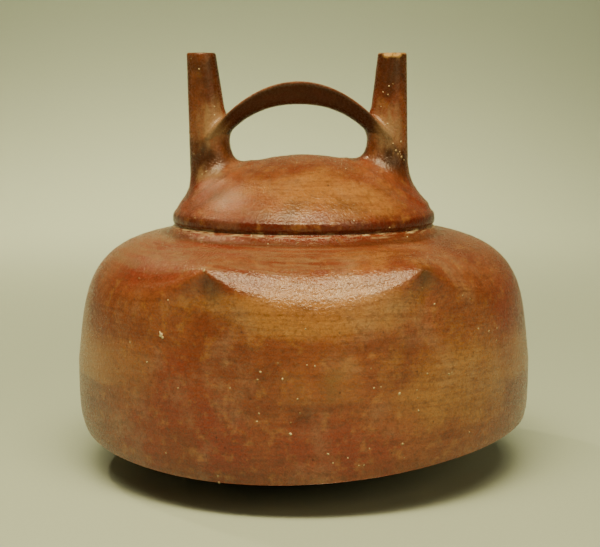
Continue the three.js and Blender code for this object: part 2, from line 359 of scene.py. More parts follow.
# %% From rings to a closed mesh
def closed_mesh(name, rings):
    """A mesh through rings of points, given from the lowest to the highest, with closed ends."""
    rows, columns = rings.shape[:2]
    points = np.concatenate([rings.reshape(-1, 3), [rings[0].mean(0)], [rings[-1].mean(0)]])
    lower = np.arange(rows - 1)[:, None] * columns
    here, after = np.arange(columns), (np.arange(columns) + 1) % columns
    upper = lower + columns
    quads = np.stack([lower + here, lower + after, upper + after, upper + here], -1)
    bottom = [(len(points) - 2, b, a) for a, b in zip(here, after)]
    last = (rows - 1) * columns
    top = [(len(points) - 1, last + a, last + b) for a, b in zip(here, after)]
    mesh = bpy.data.meshes.new(name)
    mesh.from_pydata((points * MM).tolist(), [], quads.reshape(-1, 4).tolist() + bottom + top)
    mesh.update()
    made = bpy.data.objects.new(name, mesh)
    bpy.context.scene.collection.objects.link(made)
    return made


body = closed_mesh("body", body_rings(body_azimuths()))
print("body faces:", len(body.data.polygons))

# %% [markdown]
# ## The spouts
#
# Each spout was rolled as a tapered tube and pressed onto the dome, and its foot was smeared out
# into a skirt. The skirt is wider on the outer side, where there was room for a thumb. Rings are
# again the simplest way: the lower ones lie on the dome, and the upper ones are level circles.

# %% Spout sizes
# The tube, then the skirt. A spout's inset is from the rim to its foot, and its lean is outwards.
SPOUT_LIP_RADIUS = 5.9
SPOUT_FOOT_RADIUS = 9.3
LIP_WALL = 1.8
SPOUT_FOOT_WALL = 3.3
BORE_FOOT_SHIFT = 1.5
LIP_ROUNDING = 0.8
FILLET_INNER = 7.5
FILLET_OUTER = 12
SKIRT_ROOT = 2.5
SKIRT_EDGE = 0.4
SKIRT_GAP = 3.2
SPOUT_COLUMNS = 72
BORE_COLUMNS = 40
SKIRT_CLIMB = 0.6
SPOUTS = {
    "left_spout": {"side": -1, "inset": 7.3, "lean": 4.4},
    "right_spout": {"side": 1, "inset": 10.9, "lean": 2.4},
}


def spout_axis(spout):
    foot = COLLAR_RADIUS - spout["inset"] - SPOUT_FOOT_RADIUS
    foot_z = dome_z(foot)

    def share(z):
        return (z - foot_z) / (LIP_HEIGHT - foot_z)

    side, lean = spout["side"], spout["lean"]
    return {
        "foot_z": foot_z,
        "x": lambda z: side * lerp(foot, foot + lean, share(z)),
        "radius": lambda z: lerp(SPOUT_FOOT_RADIUS, SPOUT_LIP_RADIUS, share(z)),
        "bore_x": lambda z: side * lerp(foot + BORE_FOOT_SHIFT, foot + lean, share(z)),
        "bore_radius": lambda z: lerp(
            SPOUT_FOOT_RADIUS - SPOUT_FOOT_WALL, SPOUT_LIP_RADIUS - LIP_WALL, share(z)
        ),
    }


lip_x = {name: spout_axis(spout)["x"](LIP_HEIGHT) for name, spout in SPOUTS.items()}
print("spouts at the lips, mm:", {name: round(x, 1) for name, x in lip_x.items()})


# %% Spout skins
def circle(x, radius, z, columns):
    angle = np.arange(columns) * 2 * np.pi / columns
    return np.stack([x + radius * np.cos(angle), radius * np.sin(angle), z + 0 * angle], axis=-1)


def spout_rings(spout):
    axis = spout_axis(spout)
    foot_x = axis["x"](axis["foot_z"])
    angle = np.arange(SPOUT_COLUMNS) * 2 * np.pi / SPOUT_COLUMNS
    outwards = (1 + spout["side"] * np.cos(angle)) / 2
    reach = COLLAR_RADIUS - SKIRT_GAP
    along = foot_x * np.cos(angle)
    to_rim = np.sqrt(along**2 + reach**2 - foot_x**2) - along - SPOUT_FOOT_RADIUS
    height = lerp(FILLET_INNER, FILLET_OUTER, outwards)
    skirt = np.maximum(np.clip(height, None, to_rim), SKIRT_EDGE)
    # Near the rim the skirt is narrow, but it still climbs nearly as high.
    height = lerp(skirt, height, SKIRT_CLIMB)

    def on_dome(r, lift):
        x, y = foot_x + r * np.cos(angle), r * np.sin(angle)
        z = dome_z(np.hypot(x, y)) + lift
        # The tube thins and leans as it rises, so the skirt does too, and they meet without a step.
        thinner = np.where(lift > 0, axis["radius"](z) - SPOUT_FOOT_RADIUS, 0)
        leaning = np.where(lift > 0, axis["x"](z) - foot_x, 0)
        x, y = x + leaning + thinner * np.cos(angle), y + thinner * np.sin(angle)
        return np.stack([x, y, z], axis=-1)

    rings = [on_dome(SPOUT_FOOT_RADIUS + skirt, -SKIRT_ROOT)]
    rings.append(on_dome(SPOUT_FOOT_RADIUS + skirt, -SKIRT_EDGE))
    for s in np.linspace(0.95, 0, 14):
        lift = 1 - math.sqrt(1 - (1 - s) ** 2)
        rings.append(on_dome(SPOUT_FOOT_RADIUS + s * skirt, lift * height))
    skirt_top = rings[-1][:, 2]
    for s in np.linspace(0, 1, 42)[1:]:
        z = lerp(skirt_top, LIP_HEIGHT - LIP_ROUNDING, s)
        r = axis["radius"](z)
        rings.append(np.stack([axis["x"](z) + r * np.cos(angle), r * np.sin(angle), z], axis=-1))
    for turn in np.linspace(0, np.pi / 2, 6)[1:]:
        r = SPOUT_LIP_RADIUS - LIP_ROUNDING * (1 - math.cos(turn))
        z = LIP_HEIGHT - LIP_ROUNDING * (1 - math.sin(turn))
        rings.append(circle(axis["x"](z), r, z, SPOUT_COLUMNS))
    return np.array(rings)


def bore_rings(spout):
    axis = spout_axis(spout)
    low = axis["foot_z"] - 10 - SPOUT_FOOT_RADIUS / 2
    # The mouth of the bore is rounded by a fingertip, so it flares a little.
    mouth = ((-1.2, 0), (-0.5, 0.15), (0, 0.6), (2, 0.8))
    rings = []
    for z, flare in ((low, 0), *((LIP_HEIGHT + up, flare) for up, flare in mouth)):
        rings.append(circle(axis["bore_x"](z), axis["bore_radius"](z) + flare, z, BORE_COLUMNS))
    return np.array(rings)


spouts = {name: closed_mesh(name, spout_rings(spout)) for name, spout in SPOUTS.items()}
bores = [closed_mesh("bore", bore_rings(spout)) for spout in SPOUTS.values()]
print("spout faces:", [len(s.data.polygons) for s in spouts.values()])

# %% [markdown]
# ## One helper for nodes
#
# Geometry Nodes and materials are both made of nodes, so one small function adds a node with its
# settings and its links. A value that is itself a node stands for that node's first output.


# %% Node helper
def add(tree, kind, *inputs, **settings):
    """Adds a node with its settings and links.

    The inputs come in order, or as one dict from socket to value. A kind may end in the
    node's operation, as in "ShaderNodeMath.POWER".
    """
    kind, _, operation = kind.partition(".")
    made = tree.nodes.new(kind)
    if operation:
        made.operation = operation
    for name, value in settings.items():
        setattr(made, name, value)
    given = inputs[0] if inputs and isinstance(inputs[0], dict) else dict(enumerate(inputs))
    for socket, value in given.items():
        if isinstance(value, bpy.types.Node):
            value = value.outputs[0]
        if isinstance(value, bpy.types.NodeSocket):
            tree.links.new(value, made.inputs[socket])
        else:
            made.inputs[socket].default_value = value
    return made


def new_node_tree(name, sockets):
    tree = bpy.data.node_groups.new(name, "GeometryNodeTree")
    tree.interface.new_socket("Geometry", in_out="OUTPUT", socket_type="NodeSocketGeometry")
    for label, kind in sockets.items():
        tree.interface.new_socket(label, in_out="INPUT", socket_type=f"NodeSocket{kind}")
    return tree, tree.nodes.new("NodeGroupInput").outputs


def run_tree(name, tree, values, start=None):
    """Runs a tree on an object and returns what it makes as a plain mesh object."""
    worker = bpy.data.objects.new(name, start.data if start else bpy.data.meshes.new(name))
    bpy.context.scene.collection.objects.link(worker)
    modifier = worker.modifiers.new("nodes", "NODES")
    modifier.node_group = tree
    for socket in tree.interface.items_tree:
        if socket.in_out == "INPUT" and socket.name in values:
            modifier[socket.identifier] = values[socket.name]
    depsgraph = bpy.context.evaluated_depsgraph_get()
    mesh = bpy.data.meshes.new_from_object(worker.evaluated_get(depsgraph))
    worker.modifiers.clear()
    worker.data = mesh
    mesh.name = name
    return worker


SMOOTH = {"interpolation_type": "SMOOTHSTEP"}
print("map range settings:", SMOOTH)

# %% [markdown]
# ## Colours
#
# Colours are picked as the eye sees them, in sRGB, and one function turns them into the linear
# light that the renderer works with.


# %% Colour helper
def linear(hex_colour):
    parts = [int(hex_colour[i : i + 2], 16) / 255 for i in (1, 3, 5)]
    return (*(c / 12.92 if c <= 0.04045 else ((c + 0.055) / 1.055) ** 2.4 for c in parts), 1)


print("middle grey #808080, linear:", round(linear("#808080")[0], 3))

# %% [markdown]
# ## Burnished slip on fired clay
#
# The pot was coated with red slip and rubbed with a smooth stone before firing. That gives the
# eye three things: a soft sheen, broken into long thin strokes; colour that drifts from red
# through orange to ochre, because the fire was uneven; and a fine speckle of pits and grains,
# because the clay is coarse. Strokes are 1 to 3 mm across and 10 to 30 mm long, and the hand
# that made them wavered, so the noise is stretched along them and then bent.


# %% Clay material helpers
NOISE_ROUGHNESS = 0.6
WANDER_SIZE, WANDER = 15, (1.6, 1.6, 1.6)


def lay(tree, below, mask, most, hex_colour):
    """Lays a colour over another. Where the mask is 1, it covers as much as most says."""
    share = add(tree, "ShaderNodeMath.MULTIPLY", mask, most)
    sockets = {0: share, 6: below, 7: linear(hex_colour)}
    return add(tree, "ShaderNodeMix", sockets, data_type="RGBA").outputs[2]


def weighted(tree, start, rows):
    """The start plus each mask times its weight."""
    for mask, weight in rows:
        start = add(tree, "ShaderNodeMath.MULTIPLY_ADD", mask, weight, start)
    return start


def even_noise(tree, size_mm, detail, output=0):
    """Noise of one size every way, placed by Object coordinates."""
    place = tree.nodes.new("ShaderNodeTexCoord").outputs["Object"]
    sockets = {"Vector": place, "Scale": 1 / (size_mm * MM), "Detail": detail}
    sockets["Roughness"] = NOISE_ROUGHNESS
    return add(tree, "ShaderNodeTexNoise", sockets).outputs[output]


def noise_along(tree, length, width, detail):
    """Noise stretched along the strokes of the burnishing stone, in mm, and then bent."""
    wander = even_noise(tree, WANDER_SIZE, 2.0, output=1)
    bend = add(tree, "ShaderNodeVectorMath.MULTIPLY", wander, WANDER)
    stroke = add(tree, "ShaderNodeAttribute", attribute_name="stroke").outputs["Vector"]
    scale = (1 / length, 1 / length, 1 / width)
    place = add(tree, "ShaderNodeVectorMath.MULTIPLY_ADD", stroke, scale, bend)
    sockets = {"Vector": place, "Scale": 1.0, "Detail": detail, "Roughness": NOISE_ROUGHNESS}
    return add(tree, "ShaderNodeTexNoise", sockets)


def patchy(tree, name, source, amount):
    """A stored mask whose edge is broken up by noise."""
    mask = add(tree, "ShaderNodeAttribute", attribute_name=name).outputs["Fac"]
    centred = add(tree, "ShaderNodeMath.SUBTRACT", source, 0.5)
    uneven = add(tree, "ShaderNodeMath.MULTIPLY_ADD", centred, amount, mask)
    shape = add(tree, "ShaderNodeMapRange", uneven, 0.15, 0.9, **SMOOTH)
    inside = add(tree, "ShaderNodeMapRange", mask, 0.0, 0.25, **SMOOTH)
    return add(tree, "ShaderNodeMath.MULTIPLY", shape, inside)


print("stroke noise wanders, mm:", WANDER_SIZE)

# %% Clay colours
SLIP = {
    "orange": "#8f5432",
    "red brown": "#763b24",
    "red": "#833524",
    "ochre": "#a87a44",
    # The next colour is smoke, and it paints shade under things and in the hollows.
    "smoke and shade": "#302012",
    # The next colour paints the shade on the collar's band.
    "deep red": "#5c1f11",
    "stroke": "#5c2a16",
    "haze": "#a08a70",
    "speckle": "#50301a",
    "light speckle": "#b0824e",
    # The next colour is dust, and it also paints sheen on the shoulder's left side and the spouts.
    "dust_and_sheen": "#98805e",
    # The next colour is worn slip, and on the strap's lips it paints their highlight.
    "bare clay": "#b08450",
    "lime": "#c6b890",
    "broken clay": "#c49e5a",
    "pit": "#2c160c",
}
print("colours of the clay:", len(SLIP))


# %% Clay material
# Even patterns: the size in mm and the detail. Strokes: the length, the width and the detail.
EVEN = {
    "clouds": (40, 3.0),
    "haze": (19, 5.0),
    "blotches": (12, 5.0),
    "light": (4.5, 6.0),
    "speckle": (1.7, 4.0),
    "grain": (1.0, 2.0),
}
STROKES = {"broad": (26, 3.0, 3.0), "fine": (11, 0.8, 3.0), "crust": (7, 1.3, 3.0)}
PIT_SPACING = 3.1


def slip_colour(tree, n):
    # A mask of (noise, low, high) is that noise, sharpened between the two values.
    layers = [
        ((n["clouds"], 0.36, 0.64), 1.0, "orange"),
        (patchy(tree, "ochre", n["blotches"], 1.5), 0.75, "ochre"),
        (patchy(tree, "red", n["blotches"], 1.5), 0.75, "red"),
        # Painted shade in deep red on the band under the collar's rim.
        (patchy(tree, "collar_shade", n["broad"], 0.8), 0.95, "deep red"),
        ((n["haze"], 0.5, 0.72), 0.34, "haze"),
        ((n["light"], 0.5, 0.68), 0.36, "light speckle"),
        # Smoke, and painted shade under the strap, the lugs and the strap's feet and on the dome.
        (patchy(tree, "dark", n["blotches"], 1.6), 0.9, "smoke and shade"),
        ((n["broad"], 0.42, 0.7), 0.34, "stroke"),
        ((n["fine"], 0.45, 0.72), 0.33, "stroke"),
        ((n["speckle"], 0.46, 0.7), 0.45, "speckle"),
        # Dust, and painted sheen on the shoulder's left side and high on the spouts.
        (patchy(tree, "dust_and_sheen", n["broad"], 1.6), 0.65, "dust_and_sheen"),
        # Painted shade in the hollows.
        (add(tree, "ShaderNodeAttribute", attribute_name="hollow_shade").outputs["Fac"], 0.5, "smoke and shade"),
        # Wear, and the painted highlight on the strap's lips.
        (patchy(tree, "wear_and_lip_sheen", n["blotches"], 0.8), 0.5, "bare clay"),
    ]
    colour = linear(SLIP["red brown"])
    for mask, most, name in layers:
        if isinstance(mask, tuple):
            mask = add(tree, "ShaderNodeMapRange", *mask, **SMOOTH)
        colour = lay(tree, colour, mask, most, SLIP[name])
    return colour


def pit_mask(tree, speckle):
    """A few of the cells of a Voronoi pattern hold a small dot of uneven size."""
    place = tree.nodes.new("ShaderNodeTexCoord").outputs["Object"]
    sockets = {"Vector": place, "Scale": 1 / (PIT_SPACING * MM)}
    cells = add(tree, "ShaderNodeTexVoronoi", sockets)
    chance = add(tree, "ShaderNodeSeparateColor", cells.outputs["Color"])
    is_pit = add(tree, "ShaderNodeMapRange", chance, 0.62, 1.0, **SMOOTH)
    edge = add(tree, "ShaderNodeMath.MULTIPLY_ADD", is_pit, 0.12, 0.03)
    ragged = add(tree, "ShaderNodeMath.MULTIPLY_ADD", speckle, 0.05, cells)
    dot = add(tree, "ShaderNodeMath.LESS_THAN", ragged, edge)
    chosen = add(tree, "ShaderNodeMath.GREATER_THAN", is_pit, 0.05)
    return add(tree, "ShaderNodeMath.MULTIPLY", chosen, dot)


def burnished_slip():
    material = bpy.data.materials.new("burnished_slip_on_fired_clay")
    material.use_nodes = True
    tree = material.node_tree
    tree.nodes.clear()
    n = {name: even_noise(tree, *sizes) for name, sizes in EVEN.items()}
    n |= {name: noise_along(tree, *sizes) for name, sizes in STROKES.items()}
    pits = pit_mask(tree, n["speckle"])
    # Lime and dust lie in the groove and round the joints, in a broken line.
    crust = patchy(tree, "dirt", n["crust"], 3.8)
    chip = patchy(tree, "chipped", n["speckle"], 1.2)
    colour = slip_colour(tree, n)
    for mask, most, name in ((pits, 0.6, "pit"), (crust, 0.85, "lime"), (chip, 0.9, "broken clay")):
        colour = lay(tree, colour, mask, most, SLIP[name])

    # The stone left a sheen that the coarse clay breaks up, and dirt and broken clay are matt.
    sheen = add(tree, "ShaderNodeMapRange", n["grain"], 0.35, 0.7, 0.16, 0.31, **SMOOTH)
    matt = [(n["speckle"], 0.1), (pits, 0.3), (crust, 0.4), (chip, 0.4)]
    # The relief is in mm: strokes and grains stand out by hundredths, and pits go in.
    relief = [(n["fine"], 0.02), (n["broad"], 0.09), (n["speckle"], 0.12), (n["grain"], 0.24)]
    relief += [(pits, -0.25), (crust, 0.15)]
    height = weighted(tree, 0.0, relief)
    sockets = {
        "Base Color": colour,
        "Roughness": weighted(tree, sheen, matt),
        "IOR": 1.5,
        "Normal": add(tree, "ShaderNodeBump", {"Strength": 1.0, "Distance": MM, "Height": height}),
    }
    shader = add(tree, "ShaderNodeBsdfPrincipled", sockets)
    add(tree, "ShaderNodeOutputMaterial", shader)
    return material


clay = burnished_slip()
print("clay nodes:", len(clay.node_tree.nodes))

# %% [markdown]
# ## The strap, swept by Geometry Nodes
#
# The strap is a strip of clay bent from spout to spout. It follows a path, so it is a sweep: a
# line is bent into the arch, a circle is pressed into the strap's section, and Curve to Mesh
# carries one along the other. The section is dished on top, where the fingers smoothed it,
# between two thin edges, and full below. Its X is the strap's width, and its Y the depth.

# %% Strap sizes
# The path comes first, then the section. "Hidden" is the share of the path left out at each end.
STRAP = {
    "Drop": 11.0,
    "Foot rise": 21.6,
    "Past axis": 5.7,
    "Power": 1.7,
    "Hidden": 0.02,
    "Half width": 8.3,
    "Spread": 1.1,
    "Foot half width": 6.6,
    "Thickness": 9.8,
    "Foot thickness": 6.5,
    "Edge": 2.2,
    "Dish": 1.2,
}
strap_foot_z = RIM_HEIGHT + STRAP["Foot rise"]
strap_left = spout_axis(SPOUTS["left_spout"])["x"](strap_foot_z) - STRAP["Past axis"]
strap_right = spout_axis(SPOUTS["right_spout"])["x"](strap_foot_z) + STRAP["Past axis"]
print("strap from and to, mm:", round(strap_left, 1), round(strap_right, 1))


# %% Strap tree
def strap_tree():
    sockets = {name: "Float" for name in (*STRAP, "Left", "Right", "Foot z", "Rise")}
    sockets["Material"] = "Material"
    tree, given = new_node_tree("strap", sockets)
    # The path: t runs from one end to the other, and the very ends stay inside the spouts.
    line = add(tree, "GeometryNodeCurvePrimitiveLine", {"End": (1, 0, 0)})
    line = add(tree, "GeometryNodeResampleCurve", {0: line, "Count": 130})
    factor = tree.nodes.new("GeometryNodeSplineParameter").outputs["Factor"]
    late = add(tree, "ShaderNodeMath.SUBTRACT", 1.0, given["Hidden"])
    t = add(tree, "ShaderNodeMapRange", {0: factor, 3: given["Hidden"], 4: late})
    angle = add(tree, "ShaderNodeMath.MULTIPLY", t, math.pi)
    along = add(tree, "ShaderNodeMath.COSINE", angle)
    along = add(tree, "ShaderNodeMath.MULTIPLY_ADD", along, -0.5, 0.5)
    x = add(tree, "ShaderNodeMapRange", {0: along, 3: given["Left"], 4: given["Right"]})
    lift = add(tree, "ShaderNodeMath.SINE", angle)
    lift = add(tree, "ShaderNodeMath.POWER", lift, given["Power"])
    z = add(tree, "ShaderNodeMath.MULTIPLY_ADD", lift, given["Rise"], given["Foot z"])
    place = add(tree, "ShaderNodeCombineXYZ", {0: x, 2: z})
    path = add(tree, "GeometryNodeSetPosition", {0: line, "Position": place})
    # How far a place is from the middle, which thins and spreads the strap.
    out = add(tree, "ShaderNodeMath.MULTIPLY_ADD", factor, 2.0, -1.0)
    out = add(tree, "ShaderNodeMath.ABSOLUTE", out)
    keep = add(tree, "GeometryNodeStoreNamedAttribute", {0: path, "Name": "out", "Value": out})

    def thinning_at(distance):
        ends = (given["Thickness"], given["Foot thickness"])
        thickness = add(tree, "ShaderNodeMapRange", distance, 0.0, 0.7, *ends, **SMOOTH)
        return add(tree, "ShaderNodeMath.DIVIDE", thickness, given["Thickness"])

    # The section: a circle pressed flat. Below, it is a full keel, and above, a shallow dish.
    ring = add(tree, "GeometryNodeCurvePrimitiveCircle", {"Resolution": 52, "Radius": 1.0})
    here = add(tree, "ShaderNodeSeparateXYZ", {0: tree.nodes.new("GeometryNodeInputPosition")})
    sine = here.outputs[1]
    size = add(tree, "ShaderNodeMath.ABSOLUTE", sine)
    keel = add(tree, "ShaderNodeMath.SUBTRACT", given["Thickness"], given["Edge"])
    keel = add(tree, "ShaderNodeMath.MULTIPLY", add(tree, "ShaderNodeMath.POWER", size, 2.6), keel)
    dish = add(tree, "ShaderNodeMath.POWER", size, 2.0)
    dish = add(tree, "ShaderNodeMath.MULTIPLY", dish, given["Dish"])
    is_below = add(tree, "ShaderNodeMath.GREATER_THAN", sine, 0.0)
    deep = add(tree, "ShaderNodeMix", {0: is_below, 2: dish, 3: keel})
    turn = add(tree, "ShaderNodeMath.TANH", add(tree, "ShaderNodeMath.MULTIPLY", sine, 4.0))
    turn = add(tree, "ShaderNodeMath.MULTIPLY_ADD", turn, 0.5, 0.5)
    edge = add(tree, "ShaderNodeMath.MULTIPLY", turn, given["Edge"])
    across = add(tree, "ShaderNodeMath.MULTIPLY", here, given["Half width"])
    down = add(tree, "ShaderNodeMath.ADD", deep, edge)
    pressed = add(tree, "ShaderNodeCombineXYZ", across, down)
    section = add(tree, "GeometryNodeSetPosition", {0: ring, "Position": pressed})
    swept = add(
        tree,
        "GeometryNodeCurveToMesh",
        {"Curve": keep, "Profile Curve": section, "Scale": thinning_at(out), "Fill Caps": True},
    )
    # The sweep thinned the width as well, so the width is set again from the same distance.
    kept = add(tree, "GeometryNodeInputNamedAttribute", {"Name": "out"}, data_type="FLOAT")
    half = given["Half width"]
    wide = add(tree, "ShaderNodeMath.ADD", half, given["Spread"])
    spread = add(tree, "ShaderNodeMapRange", kept, 0.3, 0.75, half, wide, **SMOOTH)
    closing = add(tree, "ShaderNodeMapRange", kept, 0.75, 1.0, **SMOOTH)
    width = add(tree, "ShaderNodeMix", {0: closing, 2: spread, 3: given["Foot half width"]})
    grow = add(tree, "ShaderNodeMath.DIVIDE", width, half)
    grow = add(tree, "ShaderNodeMath.DIVIDE", grow, thinning_at(kept))
    stretch = add(tree, "ShaderNodeCombineXYZ", {0: 1.0, 1: grow, 2: 1.0})
    place = tree.nodes.new("GeometryNodeInputPosition")
    place = add(tree, "ShaderNodeVectorMath.MULTIPLY", place, stretch)
    wide_strap = add(tree, "GeometryNodeSetPosition", {0: swept, "Position": place})
    in_metres = add(tree, "GeometryNodeTransform", {0: wide_strap, "Scale": (MM, MM, MM)})
    real = add(tree, "GeometryNodeRealizeInstances", {0: in_metres})
    done = add(tree, "GeometryNodeSetMaterial", {0: real, "Material": given["Material"]})
    add(tree, "NodeGroupOutput", {0: done})
    return tree


strap_values = {
    **STRAP,
    "Left": float(strap_left),
    "Right": float(strap_right),
    "Foot z": float(strap_foot_z),
    "Rise": float(LIP_HEIGHT - STRAP["Drop"] - strap_foot_z),
    "Material": clay,
}
strap = run_tree("strap", strap_tree(), strap_values)
print("strap faces:", len(strap.data.polygons))


# %% Close the strap
def weld(mesh, distance=1e-6):
    work = bmesh.new()
    work.from_mesh(mesh)
    bmesh.ops.remove_doubles(work, verts=work.verts, dist=distance)
    bmesh.ops.recalc_face_normals(work, faces=work.faces)
    open_edges = sum(len(e.link_faces) != 2 for e in work.edges)
    work.to_mesh(mesh)
    work.free()
    return open_edges


print("open edges of the strap:", weld(strap.data))

# %% [markdown]
# ## The hollow
#
# A vessel is a wall round a space. The inside follows the outside, one wall further in, with
# neither lugs nor groove. It is hardly seen, so its rings are few.

# %% Hollow
WALL = 5
FLOOR_THICKNESS = 6
HOLLOW_COLUMNS = 64


def one_wall_in(outline, azimuth, share):
    step = 0.002
    r0, z0 = outline(azimuth, np.maximum(0, share - step))
    r1, z1 = outline(azimuth, share + step)
    length = np.hypot(r1 - r0, z1 - z0)
    r, z = outline(azimuth, share)
    return r - WALL * (z1 - z0) / length, z + WALL * (r1 - r0) / length


def hollow_rings():
    azimuth = np.arange(HOLLOW_COLUMNS) * 2 * np.pi / HOLLOW_COLUMNS
    top = collar_climb(azimuth)
    rings = []
    for s in (0.45, 0.75, 1):
        r = s * (EDGE_RADIUS - WALL)
        rings.append((r + 0 * azimuth, base_z(azimuth, r) + FLOOR_THICKNESS))
    rings += [one_wall_in(wall_point, azimuth, s) for s in (0.35, 0.7)]
    rings += [one_wall_in(shoulder_point, azimuth, s * top) for s in np.linspace(0, 1, 14)[2:]]
    neck = COLLAR_RADIUS - WALL
    for s in (1, 0.8, 0.55, 0.3):
        rings.append((s * neck + 0 * azimuth, dome_z(s * neck, WALL) + 0 * azimuth))
    r, z = (np.array(part) for part in zip(*rings))
    return np.stack([r * np.cos(azimuth), r * np.sin(azimuth), z], axis=-1)


hollow = closed_mesh("hollow", hollow_rings())
print("hollow faces:", len(hollow.data.polygons))

# %% [markdown]
# ## Chips
#
# Use has nicked the lips. A chip is a lump of clay that broke away, so each one is cut with a
# small rough lump, at a place read from the photo.

# %% Chips
left_lip, right_lip = lip_x["left_spout"], lip_x["right_spout"]
CHIPS = [
    ((right_lip - 2.6, -5.4, LIP_HEIGHT + 0.1), (2.4, 1.3, 1.4)),
    ((right_lip + 1.6, -5.8, LIP_HEIGHT + 0.2), (1.9, 1.2, 1.6)),
    ((right_lip + 4.6, -3.6, LIP_HEIGHT + 0.4), (1.0, 1.2, 0.9)),
    ((right_lip - 5.6, -1.0, LIP_HEIGHT + 0.3), (0.9, 1.6, 0.8)),
    ((left_lip - 5.0, -3.4, LIP_HEIGHT + 0.7), (1.3, 1.6, 1.1)),
    ((left_lip + 5.4, -2.2, LIP_HEIGHT + 0.8), (1.0, 1.8, 1.1)),
]


def chip_cutters():
    work = bmesh.new()
    for place, size in CHIPS:
        lump = bmesh.ops.create_icosphere(work, subdivisions=2, radius=1)["verts"]
        for vert in lump:
            rough = 1 + 0.25 * noise.noise(vert.co * 1.7 + Vector(place))
            vert.co = Vector(c * s * rough + p for c, s, p in zip(vert.co, size, place)) * MM
    mesh = bpy.data.meshes.new("chips")
    work.to_mesh(mesh)
    work.free()
    made = bpy.data.objects.new("chips", mesh)
    bpy.context.scene.collection.objects.link(made)
    return made


chips = chip_cutters()
print("chips:", len(CHIPS))

# %% [markdown]
# ## Join and cut
#
# Booleans join the parts as wet clay was joined, and then cut the hollow, the bores and the
# chips. The Manifold solver is quick and exact on closed meshes, and all of these are closed.


# %% Boolean
def combine(target, others, operation):
    for other in others:
        modifier = target.modifiers.new("join", "BOOLEAN")
        modifier.object = other
        modifier.operation = operation
        modifier.solver = "MANIFOLD"
    depsgraph = bpy.context.evaluated_depsgraph_get()
    mesh = bpy.data.meshes.new_from_object(target.evaluated_get(depsgraph))
    target.modifiers.clear()
    target.data = mesh


def tree_of(thing):
    mesh = thing.data
    points = [v.co / MM for v in mesh.vertices]
    return BVHTree.FromPolygons(points, [p.vertices for p in mesh.polygons])


parts = {"body": body, **spouts, "strap": strap}
part_trees = {name: tree_of(thing) for name, thing in parts.items()}
bottle = closed_mesh("bottle_clay", body_rings(body_azimuths()))
combine(bottle, [*spouts.values(), strap], "UNION")
combine(hollow, bores, "UNION")
combine(bottle, [hollow, chips], "DIFFERENCE")
print("joined faces:", len(bottle.data.polygons))

# %% [markdown]
# ## Smeared joints
#
# The potter smeared wet clay into each joint. Where two parts meet, the surface is moved onto the
# smooth union of their distances, which fills the corner with a fillet. The distances come from a
# search tree for each part, and each point takes a few Newton steps along the blended gradient.

# %% Smooth union
# Fillet radii and distances, in mm: how near a point of the joined skin is to its part, how near
# to a second part it is evened out, and the longest move that is trusted.
JOINT_FILLET = {"strap": 3.6, "left_spout": 3.0, "right_spout": 3.0}
ON_PART = 0.05
RELAX_WITHIN = 2.5
LONGEST_MOVE = 1.6


def signed_distance(tree, point):
    near, normal, _, distance = tree.find_nearest(point)
    away = point - near
    if distance < 1e-4:
        return 0.0, normal
    sign = 1 if away.dot(normal) >= 0 else -1
    return sign * distance, away * (sign / distance)


def blended(point):
    total, slope = signed_distance(part_trees["body"], point)
    for name, fillet in JOINT_FILLET.items():
        distance, direction = signed_distance(part_trees[name], point)
        share = max(fillet - abs(distance - total), 0) / fillet
        low, low_slope = (total, slope) if total < distance else (distance, direction)
        high_slope = direction if total < distance else slope
        total = low - share * share * fillet / 4
        slope = low_slope * (1 - share / 2) + high_slope * (share / 2)
    return total, slope


def smear_joints(mesh):
    moved = 0
    touched = []
    for vert in mesh.vertices:
        point = vert.co / MM
        if point.z < GROOVE_HEIGHT + 2:
            continue
        reach = sorted(abs(signed_distance(tree, point)[0]) for tree in part_trees.values())
        if reach[0] > ON_PART or reach[1] > max(JOINT_FILLET.values()):
            continue
        start = point.copy()
        for _ in range(4):
            distance, slope = blended(point)
            point = point - slope * (distance / slope.length_squared)
        # A long step means the search met a hidden edge, so it isn't trusted.
        fade = 1 - smoothstep(math.hypot(start.x, start.y), DOME_EDGE - 2, DOME_EDGE)
        if (point - start).length < LONGEST_MOVE:
            moved += 1
            vert.co = start.lerp(point, float(fade)) * MM
        if reach[1] < RELAX_WITHIN:
            touched.append(vert.index)
    mesh.update()
    return moved, touched


moved, joint_points = smear_joints(bottle.data)
print("points moved onto fillets:", moved)


# %% Relax the joints
def relax(mesh, indices, rounds):
    work = bmesh.new()
    work.from_mesh(mesh)
    work.verts.ensure_lookup_table()
    chosen = [work.verts[i] for i in indices]
    for _ in range(rounds):
        bmesh.ops.smooth_vert(
            work, verts=chosen, factor=0.5, use_axis_x=True, use_axis_y=True, use_axis_z=True
        )
    work.to_mesh(mesh)
    work.free()


relax(bottle.data, joint_points, 6)
print("points relaxed:", len(joint_points))

# %% [markdown]
# ## A hand-built surface
#
# Nothing on the real bottle is quite round. Slow noise sinks the skin by up to half a millimetre,
# as the paddle left it, and it only sinks, so the piece stays inside the solid's box. The search
# trees also tell each point which part it is on, and whether it is on the outside at all.

# %% Which part each point is on
SKIN_WITHIN = 2.2
points = np.array([v.co[:] for v in bottle.data.vertices]) / MM
names = list(part_trees)
nearest = np.array([[part_trees[n].find_nearest(p)[3] for n in names] for p in points])
owner = nearest.argmin(1)
outside = nearest.min(1) < SKIN_WITHIN
x, y, z = points.T
radius = np.hypot(x, y)
# The hollow follows the outside one wall in, and the bores are inside the spouts.
for spout in SPOUTS.values():
    axis = spout_axis(spout)
    in_bore = np.hypot(x - axis["bore_x"](z), y) < axis["bore_radius"](z) + 0.3
    outside &= ~(in_bore & (z > RIM_HEIGHT) & (z < LIP_HEIGHT - 2))
print("points on the outside:", int(outside.sum()), "of", len(points))

